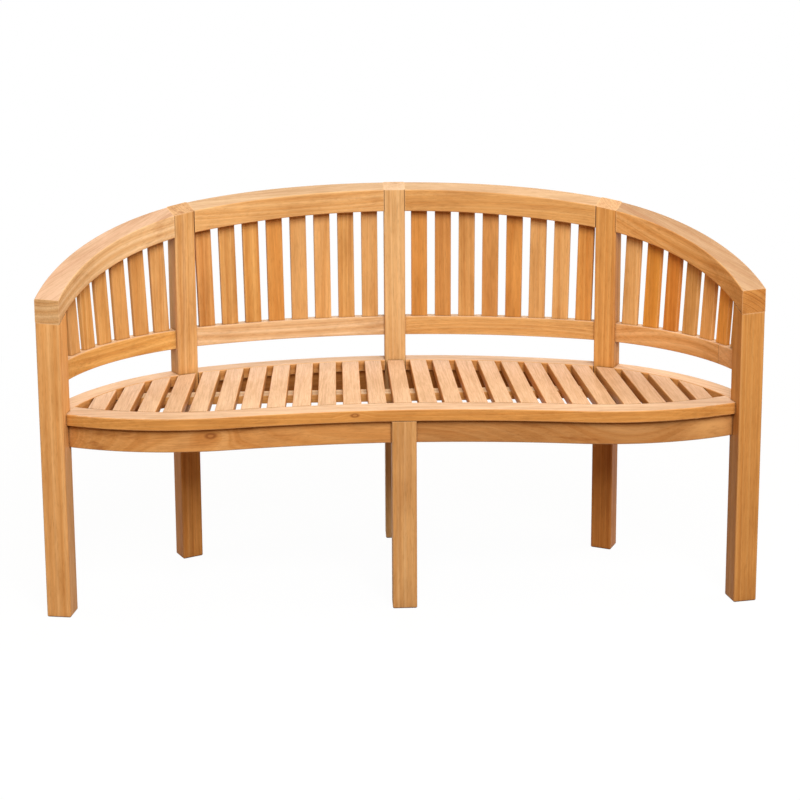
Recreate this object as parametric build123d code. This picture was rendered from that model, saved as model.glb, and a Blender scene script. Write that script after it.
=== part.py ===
from build123d import *
from math import acos, asin, cos, degrees, radians, sin, sqrt, tan
import os

# Curved garden bench of solid teak, made as a jointed frame with slatted seat, back and arms.
# X runs along the bench, Y points to its back, Z is up; the origin is on the floor, mid length and mid depth.
# Sizes are millimetres and angles are degrees.

# Whole bench
overall_depth = 510.7          # front bulges of the seat to the rear of the centre back post
overall_height = 851.0         # rear edge of the centre back post
edge_ease = 2.5                # rounding of the sawn edges that hands and clothes touch
post_ease = 3.5                # rounding of the posts' and legs' upright edges and feet

# Plan curve: the face of the back and arms, one wide arc that turns into a tighter one at each side
back_radius = 1228.0
arm_radius = 432.0
blend_angle = 20.35            # direction of the face where the two arcs meet
side_post_angle = 27.1
front_leg_setback = 55.8       # face of the front legs, at mid width, behind the front bulges

# Posts and legs
post_width = 48.5
post_depth = 46.0
front_leg_depth = 51.5         # the arms widen to it from the side posts
centre_leg_width = 52.0

# Top rail and arms: a sloping line in side view with a crest at the back
top_rail_height = 50.4
crest_run = 75.0               # how far the crest reaches in front of the rear face
crest_radius = 750.0
arm_slope = 19.3               # slope where the crest runs into the arms
arm_sweep_radius = 15000.0     # slight crown of the arms in side view

# Lower rails of the back and arms
lower_rail_bottom = 495.5
lower_rail_height = 43.0
lower_rail_depth = 28.0

# Back and arm slats
back_slat_width = 37.5
back_slat_thickness = 11.0
back_slat_setback = 20.0       # from the face of the posts, half way up
back_slats_per_half = 8
centre_post_gap = 15.0         # beside the centre post
side_post_gap = 11.0           # beside a side post, towards the middle
slats_per_arm = 7
arm_rear_gap = 16.0            # beside a side post, towards the arm
arm_front_gap = 5.5            # beside a front leg
slat_rake = 1.8                # backward tilt of all the slats
slat_lean = 2.8                # sideways tilt of the slats nearest the front legs
slat_let_in = 10.0             # depth of the slat ends in the rails

# Seat boards and slats
seat_height = 436.9
seat_board = 25.5              # thickness of the front rail and of the rim
front_rail_width = 55.0
bulge_from_centre = 460.0      # sideways place of each front bulge
bulge_reach = 40.5             # how far the bulges stand in front of the hollow middle
bulge_radius = 590.0           # inner side of each bulge; the outer side runs on to the front leg
front_line_on_leg = 3.4        # where the front line meets the leg's face, ahead of its middle
seat_slats_per_side = 12       # besides the one in the middle
seat_slat_width = 39.0
seat_slat_thickness = 21.0
seat_slat_pitch = 53.6
seat_slat_fan = 1.6            # turn of the outermost slats towards the middle of the back
seat_slat_rear_gap = 3.0       # open line in front of the rim
slat_tongue_length = 12.0
slat_tongue_width = 27.0
slat_tongue_thickness = 9.0
tongue_ease = 1.0

# Aprons under the seat boards
apron_height = 49.4
apron_thickness = 18.0
front_apron_setback = 12.0
back_apron_setback = 12.0

# Batten and bearers under the seat slats
batten_width = 38.0
batten_height = 18.0
batten_from_rear = 245.1       # rear face of the centre back post to the batten's middle
bearer_width = 24.0
bearer_height = 30.0

# Joints
tenon_length = 16.0
tenon_thickness = 14.0
tenon_shoulder = 8.0           # least wood above and below a tenon
rim_tenon_width = 24.0
front_tenon_thickness = 7.0    # front aprons and front rail
stub_tenon = 20.0              # square tenon on a leg's top
stub_height = 14.0
joint_clearance = 0.15
mortise_end_room = 0.8
tenon_lap = 7.0                # root of a tenon inside its own rail
peg_diameter = 8.0
peg_length = 28.0

# Screws through the batten
screwed_slats_per_side = 11
screw_diameter = 4.5
screw_head_diameter = 9.0
screw_head_height = 3.0
screw_bite = 14.0              # depth in the slat
screw_slot_width = 1.2
screw_slot_depth = 1.3

# Derived places
rear_y = overall_depth / 2
face_y = rear_y - post_depth
front_y = -overall_depth / 2
half_reach = overall_depth * 2
blend_turn = radians(blend_angle)
back_centre_y = face_y - back_radius
arm_centre_x = (back_radius - arm_radius) * sin(blend_turn)
arm_centre_y = back_centre_y + (back_radius - arm_radius) * cos(blend_turn)
front_post_angle = degrees(acos((front_y + front_leg_setback - arm_centre_y) / arm_radius))
seat_underside = seat_height - seat_board
apron_bottom = seat_underside - apron_height
slat_underside = seat_height - seat_slat_thickness
batten_bottom = slat_underside - batten_height
batten_y = rear_y - batten_from_rear
bearer_bottom = batten_bottom - bearer_height
lower_rail_top = lower_rail_bottom + lower_rail_height
lower_rail_setback = (post_depth - lower_rail_depth) / 2
middle_y = front_y + bulge_reach
hollow_radius = (bulge_from_centre ** 2 + bulge_reach ** 2) / (2 * bulge_reach) - bulge_radius
hollow_turn = degrees(asin(bulge_from_centre / (hollow_radius + bulge_radius)))
crown_turn = 2 * hollow_turn
join_y = rear_y - crest_run


# Plan curve of the back

def plan_point(angle, behind):
    side = -1 if angle < 0 else 1
    turn = radians(abs(angle))
    if abs(angle) <= blend_angle:
        reach = back_radius + behind
        return (side * reach * sin(turn), back_centre_y + reach * cos(turn))
    reach = arm_radius + behind
    return (side * (arm_centre_x + reach * sin(turn)), arm_centre_y + reach * cos(turn))


def plan_line(start, finish, behind):
    turns = [turn for turn in (-blend_angle, blend_angle) if start < turn < finish]
    stops = [start] + turns + [finish]
    line = []
    for first, last in zip(stops, stops[1:]):
        between = (first + last) / 2
        ends = [plan_point(angle, behind) for angle in (first, between, last)]
        line.append(ThreePointArc(*ends))
    return line


def upright(face, low, high):
    return Pos(0, 0, low) * extrude(face, high - low, dir=(0, 0, 1))


def plan_band(start, finish, near, far):
    inside = plan_line(start, finish, near)
    outside = plan_line(start, finish, far)
    first_end = Line(inside[0] @ 0, outside[0] @ 0)
    last_end = Line(inside[-1] @ 1, outside[-1] @ 1)
    return make_face(inside + outside + [first_end, last_end])


def within_plan(behind, low, high):
    # Everything in front of the plan curve moved back by a distance, run straight on past the front legs
    curve = plan_line(-front_post_angle, front_post_angle, behind)
    x, y = plan_point(front_post_angle, behind)
    run_on = (y - front_y + post_depth) / tan(radians(front_post_angle))
    corners = [(side * (x + run_on), front_y - post_depth) for side in (1, -1)]
    sides = [Line(curve[-1] @ 1, corners[0]), Line(*corners), Line(corners[1], curve[0] @ 0)]
    return upright(make_face(curve + sides), low, high)


def run_length(angle, behind):
    back_part = (back_radius + behind) * radians(min(angle, blend_angle))
    arm_part = (arm_radius + behind) * radians(max(angle - blend_angle, 0))
    return back_part + arm_part


def angle_at(length, behind):
    back_part = (back_radius + behind) * blend_turn
    if length <= back_part:
        return degrees(length / (back_radius + behind))
    return blend_angle + degrees((length - back_part) / (arm_radius + behind))


def at_post(angle):
    # Local X runs along the curve, local Y points out of the bench, local origin on the post's face
    x, y = plan_point(angle, 0)
    return Pos(x, y, 0) * Rot(0, 0, -angle)


def block(place, x_span, y_span, z_span):
    spans = (x_span, y_span, z_span)
    size = [span[1] - span[0] for span in spans]
    middle = [(span[0] + span[1]) / 2 for span in spans]
    return place * Pos(*middle) * Box(*size)


def flip(piece):
    return mirror(piece, about=Plane.YZ)


# Side view of the top rail

def rail_arcs():
    slope = radians(arm_slope)
    crest_y = join_y + crest_radius * sin(slope)
    crest_z = overall_height - sqrt(crest_radius ** 2 - (rear_y - crest_y) ** 2)
    join_z = crest_z + crest_radius * cos(slope)
    sweep_y = join_y + arm_sweep_radius * sin(slope)
    sweep_z = join_z - arm_sweep_radius * cos(slope)
    return (crest_y, crest_z), (sweep_y, sweep_z)


crest_centre, sweep_centre = rail_arcs()


def rail_top(y):
    centre, radius = (crest_centre, crest_radius) if y > join_y else (sweep_centre, arm_sweep_radius)
    return centre[1] + sqrt(radius ** 2 - (y - centre[0]) ** 2)


def top_line(shift):
    stops = (front_y, join_y, rear_y + post_depth)
    line = []
    for first, last in zip(stops, stops[1:]):
        depths = (first, (first + last) / 2, last)
        line.append(ThreePointArc(*[(0, y, rail_top(y) + shift) for y in depths]))
    return line


def across(edges):
    return extrude(make_face(edges), half_reach, dir=(1, 0, 0), both=True)


def rail_slab():
    upper = top_line(0)
    lower = top_line(-top_rail_height)
    front_end = Line(lower[0] @ 0, upper[0] @ 0)
    rear_end = Line(lower[-1] @ 1, upper[-1] @ 1)
    return across(upper + lower + [front_end, rear_end])


def below_rail(floor, shift):
    # Everything between a level floor and the top line moved by the given height
    upper = top_line(shift)
    front_low = (0, front_y, floor)
    rear_low = (0, rear_y + post_depth, floor)
    sides = [Line(upper[0] @ 0, front_low), Line(front_low, rear_low), Line(rear_low, upper[-1] @ 1)]
    return across(upper + sides)


# Wavy front of the seat: a hollow middle, two bulges and their flanks, which end on the front legs

leg_x, leg_y = plan_point(front_post_angle, 0)
leg_turn = radians(front_post_angle)
flank_run = leg_x + front_line_on_leg * cos(leg_turn) - bulge_from_centre
flank_drop = leg_y - front_line_on_leg * sin(leg_turn) - front_y
flank_radius = (flank_run ** 2 + flank_drop ** 2) / (2 * flank_drop)
flank_turn = degrees(asin(flank_run / flank_radius))


def front_point(turn, behind, side):
    # The hollow is an arc about a point in front of the seat, bulges and flanks about points behind it
    if turn <= hollow_turn:
        reach = hollow_radius + behind
        return (side * reach * sin(radians(turn)), middle_y - hollow_radius + reach * cos(radians(turn)))
    radius = bulge_radius if turn <= crown_turn else flank_radius
    reach = radius - behind
    swing = radians(turn - crown_turn)
    return (side * (bulge_from_centre + reach * sin(swing)), front_y + radius - reach * cos(swing))


def front_arc(first, last, behind, side):
    return ThreePointArc(*[front_point(turn, behind, side) for turn in (first, (first + last) / 2, last)])


def front_run(behind, side):
    # Straight end of a front line through the leg
    x, y = front_point(crown_turn + flank_turn, behind, side)
    length = 2 * post_depth
    far_end = (x + side * length * cos(radians(flank_turn)), y + length * sin(radians(flank_turn)))
    return Line((x, y), far_end)


def front_line(behind):
    flank_end = crown_turn + flank_turn
    line = [front_run(behind, side) for side in (-1, 1)]
    for side in (-1, 1):
        line.append(front_arc(hollow_turn, crown_turn, behind, side))
        line.append(front_arc(crown_turn, flank_end, behind, side))
    hollow_ends = [front_point(hollow_turn, behind, side) for side in (-1, 1)]
    line.append(ThreePointArc(hollow_ends[0], front_point(0, behind, 1), hollow_ends[1]))
    return line


def front_band(near, far):
    front = front_line(near)
    rear = front_line(far)
    ends = [Line(front[end] @ 1, rear[end] @ 1) for end in (0, 1)]
    return make_face(front + rear + ends)


def behind_front(behind, low, high):
    front = front_line(behind)
    half_width = (front[1] @ 1).X
    left_rear = (-half_width, rear_y)
    right_rear = (half_width, rear_y)
    sides = [Line(front[0] @ 1, left_rear), Line(left_rear, right_rear), Line(right_rear, front[1] @ 1)]
    return upright(make_face(front + sides), low, high)


def front_crossing(behind):
    # Place along the right front leg's face, in its local X, where a line of the front meets it
    return front_line_on_leg - behind / sin(radians(flank_turn + front_post_angle))


def front_depth(x, behind):
    # How far back a line of the front lies at a sideways place on a bulge or its flank
    radius = bulge_radius if x < bulge_from_centre else flank_radius
    return front_y + radius - sqrt((radius - behind) ** 2 - (x - bulge_from_centre) ** 2)


# Tenons of the pieces that follow the plan curve: distances behind the post's face, then heights

def ring_tenon(kind, angle):
    if kind == "top":
        depth_here = plan_point(angle, post_depth / 2)[1]
        middle = rail_top(depth_here) - top_rail_height / 2
        half = top_rail_height / 2 - tenon_shoulder - tenon_lap
        return middle_span(post_depth / 2, tenon_thickness), (middle - half, middle + half)
    if kind == "lower":
        heights = (lower_rail_bottom + tenon_shoulder, lower_rail_top - tenon_shoulder)
        return middle_span(post_depth / 2, tenon_thickness), heights
    if kind == "rim":
        heights = (seat_underside + tenon_shoulder, seat_height - tenon_shoulder)
        return middle_span(post_depth / 2, rim_tenon_width), heights
    heights = (apron_bottom + tenon_shoulder, seat_underside - tenon_shoulder)
    apron_middle = back_apron_setback + apron_thickness / 2
    return middle_span(apron_middle, front_tenon_thickness), heights


def middle_span(middle, size):
    return (middle - size / 2, middle + size / 2)


def grown(span, room):
    return (span[0] - room, span[1] + room)


def sided(side, first, last):
    return tuple(sorted((side * first, side * last)))


def tenon(kind, angle, side):
    depths, heights = ring_tenon(kind, angle)
    along = sided(side, post_width / 2 - tenon_length, post_width / 2 + tenon_lap)
    return block(at_post(angle), along, depths, heights)


def mortise(kind, angle, side):
    depths, heights = ring_tenon(kind, angle)
    along = sided(side, post_width / 2 - tenon_length - mortise_end_room, post_width / 2 + tenon_lap)
    return block(at_post(angle), along, grown(depths, joint_clearance), grown(heights, joint_clearance))


def post_span(angle):
    # Inner and outer face of a post or front leg, measured from the face of the back
    return middle_span(post_depth / 2, front_leg_depth if angle == front_post_angle else post_depth)


def peg(kind, angle, side):
    heights = ring_tenon(kind, angle)[1]
    outer_face = post_span(angle)[1]
    middle = (side * (post_width / 2 - tenon_length / 2), outer_face - peg_length / 2, sum(heights) / 2)
    return at_post(angle) * Pos(*middle) * Rot(90, 0, 0) * Cylinder(peg_diameter / 2, peg_length)


# Posts and legs

def footed_block(place, width, depths, high):
    # Square timber with rounded upright edges and a rounded foot
    timber = block(place, middle_span(0, width), depths, (0, high))
    uprights = timber.edges().filter_by(Axis.Z)
    foot = timber.edges().group_by(Axis.Z)[0]
    return fillet(uprights + foot, post_ease)


def post_block(angle):
    return footed_block(at_post(angle), post_width, post_span(angle), overall_height)


pegged = ("top", "lower", "apron")
ring_kinds = ("top", "lower", "rim", "apron")
centre_joints = [(kind, 0, side) for kind in ring_kinds for side in (-1, 1)]
side_joints = [(kind, side_post_angle, side) for kind in ring_kinds for side in (-1, 1)]
front_joints = [(kind, front_post_angle, -1) for kind in ("lower", "rim", "apron")]
right_pegs = [peg(*joint) for joint in side_joints + front_joints if joint[0] in pegged]
centre_pegs = [peg(*joint) for joint in centre_joints if joint[0] in pegged]


def stub_block(place, base, room, end_room):
    half = stub_tenon / 2 + room
    low = base - tenon_lap
    high = base + stub_height + end_room
    return block(place, (-half, half), (post_depth / 2 - half, post_depth / 2 + half), (low, high))


def back_post(angle, joints, pegs):
    post = post_block(angle) & below_rail(0, 0)
    for joint in joints:
        post -= mortise(*joint)
    for pin in pegs:
        post -= pin
    return post


arm_underside = rail_top(plan_point(front_post_angle, post_depth / 2)[1]) - top_rail_height


def front_apron_tenon(room, end_room):
    # Tenon of the right front apron in the front leg's face; it stops short of the arm apron's tenon
    middle = front_crossing(front_apron_setback + apron_thickness / 2)
    along = grown(middle_span(middle, front_tenon_thickness), room)
    length = ring_tenon("apron", front_post_angle)[0][0] - 2 * mortise_end_room
    depths = (-tenon_lap, length + end_room)
    heights = grown((apron_bottom + tenon_shoulder, seat_underside - tenon_shoulder), room)
    return block(at_post(front_post_angle), along, depths, heights)


def front_rail_tenon(room, end_room):
    along = grown((tenon_shoulder - post_width / 2, front_line_on_leg - tenon_shoulder), room)
    length = ring_tenon("rim", front_post_angle)[0][0] - 2 * mortise_end_room
    depths = (-tenon_lap, length + end_room)
    heights = grown((seat_underside + tenon_shoulder, seat_height - tenon_shoulder), room)
    return block(at_post(front_post_angle), along, depths, heights)


def front_leg():
    leg = post_block(front_post_angle) & below_rail(0, -top_rail_height)
    leg += stub_block(at_post(front_post_angle), arm_underside, 0, 0)
    for joint in front_joints:
        leg -= mortise(*joint)
    leg -= front_apron_tenon(joint_clearance, mortise_end_room)
    leg -= front_rail_tenon(joint_clearance, mortise_end_room)
    for pin in right_pegs:
        leg -= pin
    return leg


centre_leg_place = Pos(0, middle_y, 0)


def centre_leg_tenon(room, end_room):
    # Tenon of the right front apron in the side of the centre leg
    middle = front_apron_setback + apron_thickness / 2
    along = (centre_leg_width / 2 - tenon_length - end_room, centre_leg_width / 2 + tenon_lap)
    depths = grown(middle_span(middle, front_tenon_thickness), room)
    heights = grown((apron_bottom + tenon_shoulder, seat_underside - tenon_shoulder), room)
    return block(centre_leg_place, along, depths, heights)


def centre_leg_block(high):
    return footed_block(centre_leg_place, centre_leg_width, (0, post_depth), high)


# Bearers under the batten, from the front aprons or the centre leg to the back posts

bearer_x = plan_point(side_post_angle, 0)[0]


def bearer_block(x, front, rear):
    return block(Pos(x, 0, 0), middle_span(0, bearer_width), (front, rear), (bearer_bottom, batten_bottom))


def bearer_tenon(x, front, rear, room):
    width = grown(middle_span(0, front_tenon_thickness), room)
    heights = grown((bearer_bottom + tenon_shoulder, batten_bottom - tenon_shoulder), room)
    return block(Pos(x, 0, 0), width, (front, rear), heights)


centre_leg_rear = middle_y + post_depth
apron_rear_y = front_depth(bearer_x, front_apron_setback + apron_thickness)
side_face_y = plan_point(side_post_angle, 0)[1]
bearer_front_bite = apron_thickness / 2


def bearer_cutter(x, front, rear, front_bite):
    ends = (front - front_bite - mortise_end_room, rear + tenon_length + mortise_end_room)
    return bearer_tenon(x, *ends, joint_clearance)


right_bearer_ends = (bearer_x, apron_rear_y, side_face_y)
centre_bearer_ends = (0, centre_leg_rear, face_y)
right_bearer_cutter = bearer_cutter(*right_bearer_ends, bearer_front_bite)
centre_bearer_cutter = bearer_cutter(*centre_bearer_ends, tenon_length)

side_post = back_post(side_post_angle, side_joints, right_pegs) - right_bearer_cutter
centre_post = back_post(0, centre_joints, centre_pegs) - centre_bearer_cutter
right_front_leg = front_leg()

centre_leg = centre_leg_block(seat_underside) + stub_block(centre_leg_place, seat_underside, 0, 0)
for cutter in (centre_leg_tenon(joint_clearance, mortise_end_room), centre_bearer_cutter):
    centre_leg = centre_leg - cutter - flip(cutter)


def post_core(angle):
    # Square-edged body of a post
    return block(at_post(angle), middle_span(0, post_width), post_span(angle), (0, overall_height))


def post_gap(angle):
    # The room that a post takes between the pieces on its two sides
    depths = (-post_depth, 2 * post_depth)
    return block(at_post(angle), middle_span(0, post_width), depths, (0, 2 * overall_height))


front_core = post_core(front_post_angle)


def make_bearer(x, front, rear, front_bite, fixed):
    bearer = bearer_block(x, front - bearer_width, rear + bearer_width)
    for piece in fixed:
        bearer -= piece
    bearer = keep_middle(bearer, x)
    return bearer + bearer_tenon(x, front - front_bite, rear + tenon_length, 0)


def keep_middle(piece, x):
    solids = piece.solids()
    return min(solids, key=lambda solid: abs(solid.center().X - x) + abs(solid.center().Y - batten_y))


# Rails, rim and aprons that follow the plan curve

def eased(solid, radius):
    # Round the long edges that run along the curve; those across the ends are about as long as a post is deep
    long_edges = [edge for edge in solid.edges() if edge.length > 1.5 * post_depth]
    return fillet(long_edges, radius)


def curved_bar(kind, start, finish, near, far, low, high):
    bar = eased(upright(plan_band(start, finish, near, far), low, high), edge_ease)
    return fitted(kind, bar, start, finish)


def fitted(kind, bar, start, finish):
    bar = bar - post_gap(start) - post_gap(finish)
    bar = max(bar.solids(), key=lambda solid: solid.volume)
    bar = bar + tenon(kind, start, 1)
    if finish == front_post_angle and kind == "top":
        return bar
    return bar + tenon(kind, finish, -1)


def drilled(piece):
    for pin in right_pegs + centre_pegs:
        piece -= pin
    return piece


def top_rail():
    band = upright(plan_band(0, side_post_angle, 0, post_depth), lower_rail_top, overall_height)
    return drilled(fitted("top", eased(band & rail_slab(), edge_ease), 0, side_post_angle))


def arm_line(finish, behind, leg_behind):
    # Edge of an arm in plan, an arc that leaves the plan curve evenly, by as much as asked at the front leg
    swing = front_post_angle - side_post_angle
    points = []
    for angle in (side_post_angle, (side_post_angle + finish) / 2, finish):
        share = (angle - side_post_angle) / swing
        points.append(plan_point(angle, behind + share * (leg_behind - behind)))
    return ThreePointArc(*points)


def arm():
    overrun = front_post_angle + 2 * degrees(post_width / arm_radius)
    leg_inside, leg_outside = post_span(front_post_angle)
    edges = [arm_line(overrun, 0, leg_inside), arm_line(overrun, post_depth, leg_outside)]
    edges += [Line(edges[0] @ end, edges[1] @ end) for end in (0, 1)]
    band = upright(make_face(edges), lower_rail_bottom, overall_height)
    beyond = block(at_post(front_post_angle), (post_width / 2, half_reach),
                   (-half_reach, half_reach), (0, 2 * overall_height))
    bar = eased(band & rail_slab(), edge_ease) - post_gap(side_post_angle) - beyond
    bar = max(bar.solids(), key=lambda solid: solid.volume) + tenon("top", side_post_angle, 1)
    bar -= stub_block(at_post(front_post_angle), arm_underside, joint_clearance, mortise_end_room)
    return drilled(bar)


lower_span = (lower_rail_setback, lower_rail_setback + lower_rail_depth, lower_rail_bottom, lower_rail_top)
rim_span = (0, post_depth, seat_underside, seat_height)
apron_span = (back_apron_setback, back_apron_setback + apron_thickness, apron_bottom, seat_underside)
half_back = (0, side_post_angle)
one_arm = (side_post_angle, front_post_angle)

right_top_rail = top_rail()
right_arm = arm()
right_lower_rail = drilled(curved_bar("lower", *half_back, *lower_span))
right_lower_arm_rail = drilled(curved_bar("lower", *one_arm, *lower_span))
right_rim_back = curved_bar("rim", *half_back, *rim_span)
right_rim_arm = curved_bar("rim", *one_arm, *rim_span)
right_back_apron = drilled(curved_bar("apron", *half_back, *apron_span))
right_arm_apron = drilled(curved_bar("apron", *one_arm, *apron_span))


# Front rail and front aprons

def make_front_rail():
    rail = eased(upright(front_band(0, front_rail_width), seat_underside, seat_height), edge_ease)
    rail = rail & within_plan(0, seat_underside, seat_height)
    rail = rail - front_core - flip(front_core)
    rail = max(rail.solids(), key=lambda solid: solid.volume)
    rail = rail + front_rail_tenon(0, 0) + flip(front_rail_tenon(0, 0))
    return rail - stub_block(centre_leg_place, seat_underside, joint_clearance, mortise_end_room)


def make_front_apron():
    near = front_apron_setback
    apron = eased(upright(front_band(near, near + apron_thickness), apron_bottom, seat_underside), edge_ease)
    apron = apron & within_plan(0, apron_bottom, seat_underside)
    apron = apron - front_core - flip(front_core) - centre_leg_block(seat_height)
    middle_x = plan_point(front_post_angle, 0)[0] / 2
    apron = min(apron.solids(), key=lambda solid: abs(solid.center().X - middle_x))
    apron = apron + front_apron_tenon(0, 0) + centre_leg_tenon(0, 0)
    return apron - right_bearer_cutter


front_rail = make_front_rail()
right_front_apron = make_front_apron()

right_apron_solid = upright(front_band(front_apron_setback, front_apron_setback + apron_thickness),
                            apron_bottom, seat_underside)
right_stops = (right_apron_solid, post_core(side_post_angle))
right_bearer = make_bearer(*right_bearer_ends, bearer_front_bite, right_stops)
centre_stops = (centre_leg_block(seat_height), post_core(0))
centre_bearer = make_bearer(*centre_bearer_ends, tenon_length, centre_stops)


# Back and arm slats

front_leg_x = plan_point(front_post_angle, 0)[0]
slat_middle = back_slat_setback + back_slat_thickness / 2
slat_foot = lower_rail_top - slat_let_in


def slat_angles(start, finish, count, first_gap, last_gap):
    first = run_length(start, slat_middle) + post_width / 2 + first_gap + back_slat_width / 2
    last = run_length(finish, slat_middle) - post_width / 2 - last_gap - back_slat_width / 2
    pitch = (last - first) / (count - 1)
    return [angle_at(first + place * pitch, slat_middle) for place in range(count)]


def slat_strip(angle, room):
    x, y = plan_point(angle, slat_middle)
    top = rail_top(y) - top_rail_height
    middle_z = (lower_rail_top + top) / 2
    lean = slat_lean * (x / front_leg_x) ** 2
    outline = RectangleRounded(back_slat_width + 2 * room, back_slat_thickness + 2 * room, edge_ease)
    length = 2 * (top - lower_rail_bottom)
    strip = upright(outline, -length / 2, length / 2)
    return at_post(angle) * Pos(0, slat_middle, middle_z) * Rot(-slat_rake, lean, 0) * strip


def back_slat(angle, room, end_room):
    zone = below_rail(slat_foot - end_room, slat_let_in - top_rail_height + end_room)
    return slat_strip(angle, room) & zone


back_angles = slat_angles(*half_back, back_slats_per_half, centre_post_gap, side_post_gap)
arm_angles = slat_angles(*one_arm, slats_per_arm, arm_rear_gap, arm_front_gap)
right_back_slats = [back_slat(angle, 0, 0) for angle in back_angles]
right_arm_slats = [back_slat(angle, 0, 0) for angle in arm_angles]
for angle in back_angles:
    pocket = back_slat(angle, joint_clearance, joint_clearance)
    right_top_rail -= pocket
    right_lower_rail -= pocket
for angle in arm_angles:
    pocket = back_slat(angle, joint_clearance, joint_clearance)
    right_arm -= pocket
    right_lower_arm_rail -= pocket


# Seat slats

slat_front_y = middle_y + front_rail_width


def seat_strip(place, width, low, high, ease):
    turn = seat_slat_fan * place / seat_slats_per_side
    spot = Pos(place * seat_slat_pitch, slat_front_y, (low + high) / 2) * Rot(0, 0, turn)
    section = Plane.XZ * RectangleRounded(width, high - low, ease)
    return spot * extrude(section, overall_depth, dir=(0, 1, 0), both=True)


seat_opening = within_plan(-seat_slat_rear_gap, slat_underside, seat_height)
seat_opening &= behind_front(front_rail_width, slat_underside, seat_height)
tongue_low = slat_underside + (seat_slat_thickness - slat_tongue_thickness) / 2
tongue_high = tongue_low + slat_tongue_thickness
tongue_zone = within_plan(slat_tongue_length, tongue_low, tongue_high)
tongue_zone &= behind_front(front_rail_width - slat_tongue_length, tongue_low, tongue_high)
pocket_heights = grown((tongue_low, tongue_high), joint_clearance)
pocket_zone = within_plan(slat_tongue_length + mortise_end_room, *pocket_heights)
pocket_zone &= behind_front(front_rail_width - slat_tongue_length - mortise_end_room, *pocket_heights)


def screw_spot(place):
    turn = radians(seat_slat_fan * place / seat_slats_per_side)
    return Pos(place * seat_slat_pitch - tan(turn) * (batten_y - slat_front_y), batten_y, 0)


def screw(place):
    low = batten_bottom
    neck = low + screw_head_height
    tip = slat_underside + screw_bite
    point = tip - screw_diameter / 2
    head = screw_head_diameter / 2
    shank = screw_diameter / 2
    corners = [(0, 0, low), (head, 0, low), (shank, 0, neck), (shank, 0, point), (0, 0, tip)]
    outline = Polyline(*corners, close=True)
    body = revolve(make_face(outline.edges()), axis=Axis.Z)
    slot = block(Pos(0, 0, low), middle_span(0, screw_head_diameter), middle_span(0, screw_slot_width),
                 (0, screw_slot_depth))
    return screw_spot(place) * body, screw_spot(place) * (body - slot)


def seat_slat(place):
    slat = seat_strip(place, seat_slat_width, slat_underside, seat_height, edge_ease) & seat_opening
    slat = slat + (seat_strip(place, slat_tongue_width, tongue_low, tongue_high, tongue_ease) & tongue_zone)
    return slat


def seat_pocket(place):
    width = slat_tongue_width + 2 * joint_clearance
    return seat_strip(place, width, *pocket_heights, tongue_ease) & pocket_zone


def make_batten():
    span = (-half_reach, half_reach)
    bar = block(Pos(0, batten_y, 0), span, middle_span(0, batten_width), (batten_bottom, slat_underside))
    bar &= within_plan(0, batten_bottom, slat_underside)
    return bar + batten_tenon(0, 0)


def batten_tenon(room, end_room):
    heights = grown((batten_bottom + joint_clearance, seat_underside - tenon_shoulder / 2), room)
    width = grown(middle_span(0, batten_width - tenon_shoulder), room)
    bar = block(Pos(0, batten_y, 0), (-half_reach, half_reach), width, heights)
    return bar & within_plan(back_apron_setback + apron_thickness / 2 + end_room, *heights)


batten = make_batten()
right_arm_apron -= batten_tenon(joint_clearance, mortise_end_room)
slats = {}
screws = []
for place in range(seat_slats_per_side + 1):
    slat = seat_slat(place)
    pocket = seat_pocket(place)
    front_rail -= pocket
    if place:
        front_rail -= flip(pocket)
    right_rim_back -= pocket
    right_rim_arm -= pocket
    centre_post -= pocket
    side_post -= pocket
    if place <= screwed_slats_per_side:
        hole, pin = screw(place)
        slat -= hole
        batten -= hole
        screws.append(pin)
        if place:
            batten -= flip(hole)
            screws.append(flip(pin))
    slats[place] = slat


# Named pieces

pieces = {
    "front_leg_centre": centre_leg,
    "back_post_centre": centre_post,
    "front_seat_rail": front_rail,
    "seat_batten": batten,
    "bearer_centre": centre_bearer,
}
pairs = {
    "front_leg": right_front_leg,
    "back_post": side_post,
    "arm": right_arm,
    "top_rail": right_top_rail,
    "lower_rail": right_lower_rail,
    "lower_arm_rail": right_lower_arm_rail,
    "seat_rim_back": right_rim_back,
    "seat_rim_arm": right_rim_arm,
    "back_apron": right_back_apron,
    "arm_apron": right_arm_apron,
    "front_apron": right_front_apron,
    "bearer": right_bearer,
}
for name, piece in pairs.items():
    pieces[name + "_right"] = piece
    pieces[name + "_left"] = flip(piece)

middle_number = seat_slats_per_side + 1
for place, slat in slats.items():
    pieces[f"seat_slat_{middle_number + place:02d}"] = slat
    if place:
        pieces[f"seat_slat_{middle_number - place:02d}"] = flip(slat)


def group(members):
    return Compound(children=[solid for member in members for solid in member.solids()])


pieces["back_slats_right"] = group(right_back_slats)
pieces["back_slats_left"] = group([flip(slat) for slat in right_back_slats])
pieces["arm_slats_right"] = group(right_arm_slats)
pieces["arm_slats_left"] = group([flip(slat) for slat in right_arm_slats])
pieces["tenon_pegs"] = group(centre_pegs + right_pegs + [flip(pin) for pin in right_pegs])
pieces["slat_screws"] = group(screws)

os.makedirs("parts", exist_ok=True)
for name, piece in pieces.items():
    export_step(piece, f"parts/{name}.step")
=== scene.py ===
import bpy
import math
import numpy as np
from mathutils import Matrix, Vector


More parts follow.
